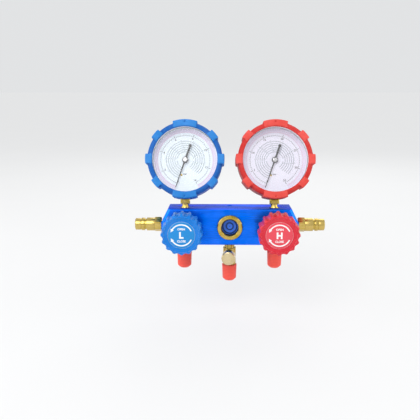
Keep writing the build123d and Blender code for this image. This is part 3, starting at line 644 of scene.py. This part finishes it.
def finishes():
    """Every finish, made once and kept by name."""
    if MATERIALS:
        return MATERIALS
    look = settings("finish")
    MATERIALS["block_blue"] = anodised("blue_anodised", tuple(look.block))
    brass = tuple(look.brass)
    MATERIALS["brass"] = turned_metal("polished_brass", brass, 0.14, 0.3)
    stub_low, stub_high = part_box("low_parking_stub")
    MATERIALS["stub_brass"] = lathed("stub_brass", brass, "X", (stub_low + stub_high) / 2, 0.8)
    MATERIALS["port_brass"] = lathed("port_brass", brass, "Z", (0, 0, 0), 0.8)
    cap_low, cap_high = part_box("centre_access_cap")
    cap_middle = (cap_low + cap_high) / 2
    MATERIALS["access_brass"] = lathed("access_brass", lighter(brass, 0.25), "Y", cap_middle, 0.9)
    MATERIALS["bright_steel"] = turned_metal("bright_steel", (0.62, 0.62, 0.64), 0.2, 0.36)
    MATERIALS["black_steel"] = moulded("black_enamel", (0.02, 0.02, 0.022), 0.35)
    MATERIALS["pointer_black"] = printed("pointer_paint", (0.012, 0.012, 0.014), 0.4)
    MATERIALS["clear_lens"] = clear("gauge_lens", (0.97, 0.98, 1.0), 0.05)
    # The sight glass window carries painted highlight rings in its base colour.
    MATERIALS["sight_glass"] = sight_glass("sight_glass", tuple(look.block))
    MATERIALS["seal_rubber"] = rubber("black_rubber", (0.02, 0.02, 0.02), 1800, 0.6)
    MATERIALS["seat_plastic"] = moulded("seat_plastic", (0.86, 0.86, 0.84), 0.5)
    MATERIALS["cap_rubber"] = ringed_rubber("cap_rubber", tuple(look.cap), 1.6)
    for hue in HUES.values():
        MATERIALS[f"boot_{hue}"] = rubber(f"{hue}_boot_rubber", tuple(getattr(look, f"boot_{hue}")))
        MATERIALS[f"pad_{hue}"] = rubber(f"{hue}_pad_rubber", tuple(getattr(look, f"pad_{hue}")), 1500, 0.6)
        MATERIALS[f"wheel_{hue}"] = moulded(f"{hue}_wheel_plastic", tuple(getattr(look, f"wheel_{hue}")))
        # A paler copy of the wheel's plastic: the painted highlight on the rim's and the label's edges.
        edge = lighter(tuple(getattr(look, f"wheel_{hue}")), 0.6)
        MATERIALS[f"edge_{hue}"] = moulded(f"{hue}_wheel_edge", edge, 0.3)
        MATERIALS[f"label_{hue}"] = printed(f"{hue}_label", tuple(getattr(look, f"label_{hue}")), 0.35)
        MATERIALS[f"dial_{hue}"] = printed(f"{hue}_dial_plate", tuple(getattr(look, f"dial_{hue}")), 0.4)
    MATERIALS["case_lining"] = moulded("case_lining", (0.86, 0.88, 0.92), 0.5)
    for name in ("ink", "grey_ink", "pink_ink", "lilac_ink", "white_ink"):
        MATERIALS[name] = printed(f"print_{name}", tuple(getattr(look, name)), 0.4)
    return MATERIALS


def paint_nodes():
    """Each CAD node that stays in view gets the finish of its material slot."""
    look = finishes()
    for part in frame["record"]["subparts"]:
        node = frame["nodes"][part["node"]]
        name = part["material_slot"]
        if part["node"].endswith("dial_screws"):
            name = "dial_white"
        if name == "dial_white":
            name = "dial_" + HUES[part["node"].split("_")[0]]
        node.data.materials.clear()
        node.data.materials.append(look[name])


# ---------------------------------------------------------------- pieces


def dress(node, body, slot, width, segments=2, smooth=35.0, finish=None):
    """A node's own shape with rounded edges, in place of the node."""
    obj = copy_of(node, node + "_dressed")
    soften(obj, width, segments)
    return hand_over(obj, node + "_dressed", body, finishes()[finish or slot], (node,), smooth)


class MANIFOLD_OT_block(bpy.types.Operator):
    """Dresses the block and its sight glass"""

    bl_idname = "manifold.block"
    bl_label = "Block and sight glass"

    def execute(self, context):
        dress("manifold_block", "manifold", "block_blue", 0.25)
        dress("sight_glass_ring", "manifold", "brass", 0.2)
        return {"FINISHED"}


def paint_highlight_ring(obj, round_axis, inner, outer, finish):
    """Paints a highlight: the slanted faces of a turned edge, within two radii, get a second, paler finish where
    the bevel would catch the light.
    """
    obj.data.materials.append(finish)
    down = round_axis.inverted()
    for face in obj.data.polygons:
        middle = down @ face.center
        lean = abs((down.to_3x3() @ face.normal).z)
        if inner < hypot(middle.x, middle.y) < outer and 0.1 < lean < 0.97:
            face.material_index = 1


class MANIFOLD_OT_fittings(bpy.types.Operator):
    """Dresses the brass fittings"""

    bl_idname = "manifold.fittings"
    bl_label = "Brass fittings"

    def execute(self, context):
        thread_fitting("centre_tee", "centre_port_cap")
        dress("centre_access_cap", "access_cap", "brass", 0.3, finish="access_brass")
        for side in SIDES:
            thread_fitting(f"{side}_hose_port", f"{side}_port_cap")
            dress(f"{side}_parking_stub", "manifold", "brass", 0.25, 3, finish="stub_brass")
            dress(f"{side}_valve_bonnet", "manifold", "brass", 0.2)
            dress(f"{side}_gauge_socket", "manifold", "brass", 0.2)
        return {"FINISHED"}


def thread_fitting(node, cap):
    """A fitting whose thread, under its cap, is cut below its crests and wound with a ridge."""
    low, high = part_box(node)
    axis = Vector(((low.x + high.x) / 2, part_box(cap)[0].y / 2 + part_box(cap)[1].y / 2, 0))
    size = settings("form")
    crest, pitch, depth = thread_crest(node, axis), size.thread_pitch, size.thread_depth
    cap_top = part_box(cap)[1].z
    obj = copy_of(node, node + "_dressed")
    soften(obj, 0.15)
    edit(obj)
    choose(obj, "vertices", lambda v: on_thread(v.co, axis, crest, cap_top))
    bpy.ops.transform.resize(value=(1 - depth / crest, 1 - depth / crest, 1), center_override=axis)
    leave_edit()
    start, end = low.z + size.thread_lead, cap_top - size.thread_stop
    ridge = wind_ridge(crest, depth, pitch, int((end - start) / pitch))
    ridge.location = axis + Vector((0, 0, start))
    apply_place(ridge)
    both = join([obj, ridge], node + "_dressed")
    hand_over(both, node + "_dressed", "manifold", finishes()["port_brass"], (node,))


def thread_crest(node, axis):
    """Radius of a fitting's lowest turned length, round its axis."""
    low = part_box(node)[0].z
    points = [v.co for v in frame["nodes"][node].data.vertices if v.co.z < low + 2 * MM]
    return max(hypot(p.x - axis.x, p.y - axis.y) for p in points)


def on_thread(point, axis, crest, top):
    radius = hypot(point.x - axis.x, point.y - axis.y)
    return point.z < top and crest - 0.3 * MM < radius < crest + 0.05 * MM


def wind_ridge(crest, depth, pitch, turns):
    """A pointed ridge wound upwards round the Z axis."""
    bpy.ops.mesh.primitive_circle_add(vertices=3, radius=pitch * 0.5, rotation=(radians(90), 0, 0))
    ridge = bpy.context.object
    apply_place(ridge)
    xs = [v.co.x for v in ridge.data.vertices]
    edit(ridge)
    bpy.ops.mesh.select_all(action="SELECT")
    stretch = depth * 1.3 / (max(xs) - min(xs))
    bpy.ops.transform.resize(value=(stretch, 1, 1), center_override=(max(xs), 0, 0))
    bpy.ops.transform.translate(value=(crest - max(xs), 0, 0))
    leave_edit()
    winding = {"screw_offset": pitch, "iterations": turns, "steps": 32, "render_steps": 32}
    modify(ridge, "SCREW", angle=radians(360), **winding)
    edit(ridge)
    bpy.ops.mesh.select_all(action="SELECT")
    bpy.ops.mesh.remove_doubles(threshold=0.001 * MM)
    bpy.ops.mesh.normals_make_consistent(inside=False)
    leave_edit()
    return ridge


class MANIFOLD_OT_caps(bpy.types.Operator):
    """Makes the ribbed rubber caps of the hose ports"""

    bl_idname = "manifold.caps"
    bl_label = "Port caps"

    def execute(self, context):
        for name, body in (("low", "low_cap"), ("high", "high_cap"), ("centre", "centre_cap")):
            dress(f"{name}_port_cap", body, "cap_rubber", 0.5, 3)
        return {"FINISHED"}


class MANIFOLD_OT_wheels(bpy.types.Operator):
    """Dresses the handwheels and prints their labels"""

    bl_idname = "manifold.wheels"
    bl_label = "Handwheels"

    def execute(self, context):
        size = settings("wheel")
        for side in SIDES:
            hue = HUES[side]
            body, edge = f"{side}_wheel", finishes()[f"edge_{hue}"]
            rim = dress(f"{side}_handwheel", body, f"wheel_{hue}", 0.3, 3, 40)
            # Painted highlight rings on the rim's bevel and on the label's edge.
            paint_highlight_ring(rim, label_place(side), size.rim_inner, size.rim_outer, edge)
            plate = dress(f"{side}_handwheel_label", body, f"label_{hue}", 0.2, 2, 40)
            paint_highlight_ring(plate, label_place(side), size.label_inner, size.label_outer, edge)
            print_label(side)
        return {"FINISHED"}


def label_place(side):
    low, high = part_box(f"{side}_handwheel_label")
    middle = (low + high) / 2
    return place((middle.x, low.y, middle.z), (0, -1, 0))


def print_label(side):
    """Two arrows, the words and the side's letter, in white on the wheel's label."""
    size = settings("wheel")
    inner, outer = size.arc_radius - size.arc_width / 2, size.arc_radius + size.arc_width / 2
    parts = []
    for flip in (1, -1):
        arc = band(inner, outer, size.arc_start, size.arc_end, 28)
        tip = arrowhead(size)
        both = join([arc, tip], "arrow")
        if flip < 0:
            both.scale.y = -1
            apply_place(both)
        parts.append(both)
    parts.append(lettering("OPEN", size.word, 0, size.word_height, 0.05))
    parts.append(lettering("CLOSE", size.word, 0, -size.word_height, 0.05))
    parts.append(lettering(side[0].upper(), size.letter, 0, 0, 0.07))
    obj = join(parts, f"{side}_label_print")
    ink(obj, size.print_height)
    put(obj, label_place(side))
    white = finishes()["white_ink"]
    hand_over(obj, f"{side}_label_print", f"{side}_wheel", white)


def arrowhead(size):
    """A triangle at the end of the arrow's line, pointing on round the circle."""
    bpy.ops.mesh.primitive_circle_add(vertices=3, radius=1, fill_type="NGON")
    tip = bpy.context.object
    xs = [v.co.x for v in tip.data.vertices]
    ys = [v.co.y for v in tip.data.vertices]
    tip.scale = (size.head_width / (max(xs) - min(xs)), size.head_length / (max(ys) - min(ys)), 1)
    apply_place(tip)
    centre = size.arc_end + size.head_length / 3 / size.arc_radius
    tip.rotation_euler.z = centre
    tip.location = (size.arc_radius * cos(centre), size.arc_radius * sin(centre), 0)
    apply_place(tip)
    return tip


class MANIFOLD_OT_boots(bpy.types.Operator):
    """Makes the gauges' rubber boots with their raised pads"""

    bl_idname = "manifold.boots"
    bl_label = "Gauge boots"

    def execute(self, context):
        for side in SIDES:
            make_boot(side)
        return {"FINISHED"}


def make_boot(side):
    """The boot's front ring stays dark, and the faces of its pads take the lighter rubber."""
    hue, node = HUES[side], f"{side}_gauge_boot"
    size = settings("form")
    obj = copy_of(node, node + "_dressed")
    modify(obj, "REMESH", mode="VOXEL", voxel_size=size.boot_grid)
    modify(obj, "SMOOTH", factor=0.5, iterations=size.boot_smooth)
    obj.data.materials.clear()
    obj.data.materials.append(finishes()[f"boot_{hue}"])
    obj.data.materials.append(finishes()[f"pad_{hue}"])
    down = gauge_place(side).inverted()
    top = heights(node, gauge_place(side))[1]
    pad = reach(node, gauge_place(side))
    for face in obj.data.polygons:
        middle = down @ face.center
        radius = hypot(middle.x, middle.y)
        on_front = middle.z > top - size.pad_face
        face.material_index = int(on_front or radius > pad - size.pad_side)
    hand_over(obj, node + "_dressed", "manifold", None, (node,), 40)


class MANIFOLD_OT_cases(bpy.types.Operator):
    """Dresses the gauges' cases and bezels, with their pale linings"""

    bl_idname = "manifold.cases"
    bl_label = "Cases and bezels"

    def execute(self, context):
        for side in SIDES:
            line_inside(f"{side}_gauge_case", side, "black_steel", 0.15)
            line_inside(f"{side}_gauge_bezel", side, "bright_steel", 0.1)
        return {"FINISHED"}


def line_inside(node, side, slot, width):
    """A case or bezel whose inward walls are painted pale."""
    obj = copy_of(node, node + "_dressed")
    soften(obj, width)
    obj.data.materials.clear()
    obj.data.materials.append(finishes()[slot])
    obj.data.materials.append(finishes()["case_lining"])
    down = gauge_place(side).inverted()
    turned = down.to_3x3()
    for face in obj.data.polygons:
        middle, normal = down @ face.center, turned @ face.normal
        outward = Vector((middle.x, middle.y, 0)).normalized()
        face.material_index = int(normal.dot(outward) < -0.3)
    hand_over(obj, node + "_dressed", "manifold", None, (node,), 40)


class MANIFOLD_OT_dials(bpy.types.Operator):
    """Prints the gauges' dials and makes their pointers"""

    bl_idname = "manifold.dials"
    bl_label = "Dials and pointers"

    def execute(self, context):
        for side, step in zip(SIDES, (2, 5)):
            print_dial(side, step)
            make_pointer(side)
            make_zero_screw(side)
        return {"FINISHED"}


def clockwise(angle):
    """A clock angle as one from three o'clock, anticlockwise."""
    return radians(90) - angle


def print_dial(side, step):
    """Ticks, numbers, a tinted outer scale and fine inner scales."""
    size = settings("dial")
    marks = size.intervals * size.subdivisions
    at = [clockwise(size.zero + size.sweep * i / marks) for i in range(marks + 1)]
    start, end = at[-1], at[0]
    plate = gauge_place(side)
    top = heights(f"{side}_gauge_dial", plate)[1]
    on_plate = plate @ Matrix.Translation((0, 0, top))
    inner = size.scale_radius
    fine = strokes(inner, inner + size.tick, size.tick_width, at)
    bold = strokes(inner, inner + size.long_tick, size.tick_width * 2, at[:: size.subdivisions])
    line = band(inner - 0.1 * MM, inner + 0.1 * MM, start, end, 120)
    numbers = []
    for i in range(size.intervals + 1):
        angle = at[i * size.subdivisions]
        x, y = size.number_radius * cos(angle), size.number_radius * sin(angle)
        numbers.append(lettering(str(i * step), size.number_size, x, y))
    numbers.append(lettering("bar", size.number_size * 0.9, 0, -size.unit_drop))
    black = join([fine, bold, line, *numbers], f"{side}_dial_numbers")
    lay(black, on_plate, side, "numbers", "ink", size.ink_height)
    far = size.band_radius + size.band_width
    tint = band(size.band_radius - 0.8 * MM, far + 0.6 * MM, start, end, 120)
    lay(tint, on_plate, side, "tint", "lilac_ink", size.ink_height / 2)
    pink_line = band(size.band_radius, size.band_radius + 0.2 * MM, start, end, 120)
    pink_ticks = strokes(far - 0.9 * MM, far, size.tick_width, at)
    pink = join([pink_line, pink_ticks], "outer_scale")
    lay(pink, on_plate, side, "outer_scale", "pink_ink", size.ink_height)
    rings = [part for i in range(size.rings) for part in fine_scale(size, i, start, end)]
    lay(join(rings, "rings"), on_plate, side, "fine_scales", "grey_ink", size.ink_height)


def fine_scale(size, i, start, end):
    """One of the fine inner scales: its line, its ticks and its figures."""
    radius = size.ring_radius + size.ring_gap * i
    stop = start + (end - start) * (0.02 + 0.008 * i)
    half, ticks = size.ring_width / 2, 36 + 8 * i
    at = [stop + (end - stop) * k / ticks for k in range(ticks + 1)]
    parts = [band(radius - half, radius + half, stop, end, 90)]
    parts.append(strokes(radius, radius + size.ring_tick, size.ring_width, at))
    for k in range(1, 8):
        angle = stop + (end - stop) * k / 8
        far = radius + size.figure_offset
        text = str((8 - k) * 10 - 10 + 5 * i)
        parts.append(lettering(text, size.ring_figure, far * cos(angle), far * sin(angle)))
    return parts


def lay(obj, on_plate, side, what, finish, height):
    ink(obj, height)
    put(obj, on_plate)
    hand_over(obj, f"{side}_dial_{what}", "manifold", finishes()[finish])


def make_pointer(side):
    """The black pointer keeps its CAD shape, with a pale cap over its boss."""
    dress(f"{side}_gauge_pointer", f"{side}_needle", "pointer_black", 0.05)
    axis = gauge_place(side)
    top = heights(f"{side}_gauge_pointer", axis)[1]
    bpy.ops.mesh.primitive_cylinder_add(vertices=48, radius=settings("dial").cap_radius, depth=0.5 * MM)
    cap = bpy.context.object
    soften(cap, 0.2, 3)
    edit(cap, "FACE")
    choose(cap, "polygons", lambda f: f.normal.z > 0.99)
    bpy.ops.mesh.inset(thickness=0.5 * MM)
    bpy.ops.mesh.inset(thickness=0.15 * MM, depth=-0.12 * MM)
    leave_edit()
    put(cap, axis @ Matrix.Translation((0, 0, top + 0.2 * MM)))
    steel = finishes()["bright_steel"]
    hand_over(cap, f"{side}_pointer_cap", f"{side}_needle", steel)


def make_zero_screw(side):
    """The small slotted brass screw that sets the zero, through the plate beside the pointer's rest."""
    size = settings("dial")
    bpy.ops.mesh.primitive_cylinder_add(vertices=32, radius=size.screw_radius, depth=0.7 * MM)
    screw = bpy.context.object
    soften(screw, 0.15, 3)
    edit(screw, "FACE")
    for slot_side in (1, -1):
        bpy.ops.mesh.select_all(action="SELECT")
        bpy.ops.mesh.bisect(plane_co=(0, slot_side * 0.2 * MM, 0), plane_no=(0, 1, 0))
    choose(screw, "polygons", lambda f: f.normal.z > 0.99 and abs(f.center.y) < 0.2 * MM)
    bpy.ops.mesh.extrude_region_move(TRANSFORM_OT_translate={"value": (0, 0, -0.3 * MM)})
    leave_edit()
    angle = clockwise(size.screw_angle)
    top = heights(f"{side}_gauge_dial", gauge_place(side))[1]
    spot = (size.screw_place * cos(angle), size.screw_place * sin(angle), top)
    put(screw, gauge_place(side) @ Matrix.Translation(spot) @ Matrix.Rotation(radians(35), 4, "Z"))
    hand_over(screw, f"{side}_zero_screw", "manifold", finishes()["brass"])


class MANIFOLD_OT_finishes(bpy.types.Operator):
    """Gives each CAD piece that stays in view its finish"""

    bl_idname = "manifold.finishes"
    bl_label = "Finishes"

    def execute(self, context):
        paint_nodes()
        return {"FINISHED"}


# ---------------------------------------------------------------- stage


# each lamp's place and width in metres, and the setting that holds its power
LAMPS = {
    "key_lamp": ((-0.4, -1.0, 0.85), 0.9, "key"),
    "left_lamp": ((-1.0, -0.2, 0.35), 0.7, "fill"),
    "right_lamp": ((1.0, -0.2, 0.35), 0.7, "fill"),
    "back_lamp": ((0.2, 0.95, 0.8), 0.8, "back"),
}


class MANIFOLD_OT_stage(bpy.types.Operator):
    """Sets the floor, the lamps, the surroundings and the camera"""

    bl_idname = "manifold.stage"
    bl_label = "Studio"

    def execute(self, context):
        size = settings("studio")
        floor_height = CAD_BOX[0][2] - size.floor_gap
        bpy.ops.mesh.primitive_plane_add(size=60.0, location=(0, 0, floor_height))
        floor = bpy.context.object
        floor.name = "studio_floor"
        floor.data.materials.append(floor_material())
        set_surroundings(size)
        for name, (spot, width, power) in LAMPS.items():
            add_lamp(name, spot, width, getattr(size, power))
        set_camera(size)
        context.scene.view_settings.view_transform = "Standard"
        return {"FINISHED"}


def add_lamp(name, spot, width, power):
    bpy.ops.object.light_add(type="AREA", location=spot)
    lamp = bpy.context.object
    lamp.name = name
    lamp.data.shape = "SQUARE"
    lamp.data.size = width
    lamp.data.energy = power
    lamp.rotation_euler = (-Vector(spot)).to_track_quat("-Z", "Y").to_euler()


def set_surroundings(size):
    """Soft white light all round; the camera, gloss and glass see the same pale backdrop."""
    world = bpy.context.scene.world or bpy.data.worlds.new("studio_world")
    bpy.context.scene.world = world
    world.use_nodes = True
    nodes, links = world.node_tree.nodes, world.node_tree.links
    nodes.clear()
    output = nodes.new("ShaderNodeOutputWorld")
    light, backdrop = nodes.new("ShaderNodeBackground"), nodes.new("ShaderNodeBackground")
    light.inputs["Color"].default_value = (1, 1, 1, 1)
    direction, split = nodes.new("ShaderNodeTexCoord"), nodes.new("ShaderNodeSeparateXYZ")
    links.new(direction.outputs["Generated"], split.inputs["Vector"])
    fade = between(nodes, links, split.outputs["Z"], size.world * 0.5, size.world * 1.25, 0.0, 0.7)
    links.new(fade, light.inputs["Strength"])
    backdrop.inputs["Color"].default_value = (0.76, 0.77, 0.78, 1)
    backdrop.inputs["Strength"].default_value = 1.0
    path, mix = nodes.new("ShaderNodeLightPath"), nodes.new("ShaderNodeMixShader")
    seen = path.outputs["Is Camera Ray"]
    for ray in ("Is Glossy Ray", "Is Transmission Ray"):
        either = nodes.new("ShaderNodeMath")
        either.operation = "MAXIMUM"
        links.new(seen, either.inputs[0])
        links.new(path.outputs[ray], either.inputs[1])
        seen = either.outputs["Value"]
    links.new(seen, mix.inputs["Fac"])
    links.new(light.outputs["Background"], mix.inputs[1])
    links.new(backdrop.outputs["Background"], mix.inputs[2])
    links.new(mix.outputs["Shader"], output.inputs["Surface"])


def set_camera(size):
    forward = Vector(
        (
            sin(size.azimuth) * cos(size.elevation),
            cos(size.azimuth) * cos(size.elevation),
            -sin(size.elevation),
        )
    )
    port_y = (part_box("low_parking_stub")[0].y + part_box("low_parking_stub")[1].y) / 2
    aim = Vector((size.aim_x, port_y, size.aim_z))
    bpy.ops.object.camera_add(location=aim - forward * size.distance)
    camera = bpy.context.object
    camera.name = "studio_camera"
    camera.rotation_euler = forward.to_track_quat("-Z", "Y").to_euler()
    camera.data.lens = size.focal
    camera.data.sensor_width = 36.0
    camera.data.clip_start = 0.01
    camera.data.clip_end = 30.0
    bpy.context.scene.camera = camera


# ---------------------------------------------------------------- panel and registration


class MANIFOLD_PT_panel(bpy.types.Panel):
    """Lists the steps and their settings"""

    bl_idname = "MANIFOLD_PT_panel"
    bl_label = "Manifold"
    bl_space_type = "VIEW_3D"
    bl_region_type = "UI"
    bl_category = "Manifold"

    def draw(self, context):
        for name, group in GROUPS.items():
            box = self.layout.box()
            for key in group.__annotations__:
                box.prop(getattr(context.scene, name), key)
        for step in STEPS:
            self.layout.operator(step.bl_idname)


STEPS = (
    MANIFOLD_OT_finishes,
    MANIFOLD_OT_block,
    MANIFOLD_OT_fittings,
    MANIFOLD_OT_caps,
    MANIFOLD_OT_wheels,
    MANIFOLD_OT_boots,
    MANIFOLD_OT_cases,
    MANIFOLD_OT_dials,
    MANIFOLD_OT_stage,
)


def register():
    for kind in (*GROUPS.values(), *STEPS, MANIFOLD_PT_panel):
        bpy.utils.register_class(kind)
    for name, group in GROUPS.items():
        setattr(bpy.types.Scene, name, bpy.props.PointerProperty(type=group))


def unregister():
    for name in GROUPS:
        delattr(bpy.types.Scene, name)
    for kind in reversed((*GROUPS.values(), *STEPS, MANIFOLD_PT_panel)):
        bpy.utils.unregister_class(kind)


def main():
    register()
    for step in STEPS:
        group, name = step.bl_idname.split(".")
        getattr(getattr(bpy.ops, group), name)()


if __name__ == "__main__":
    main()
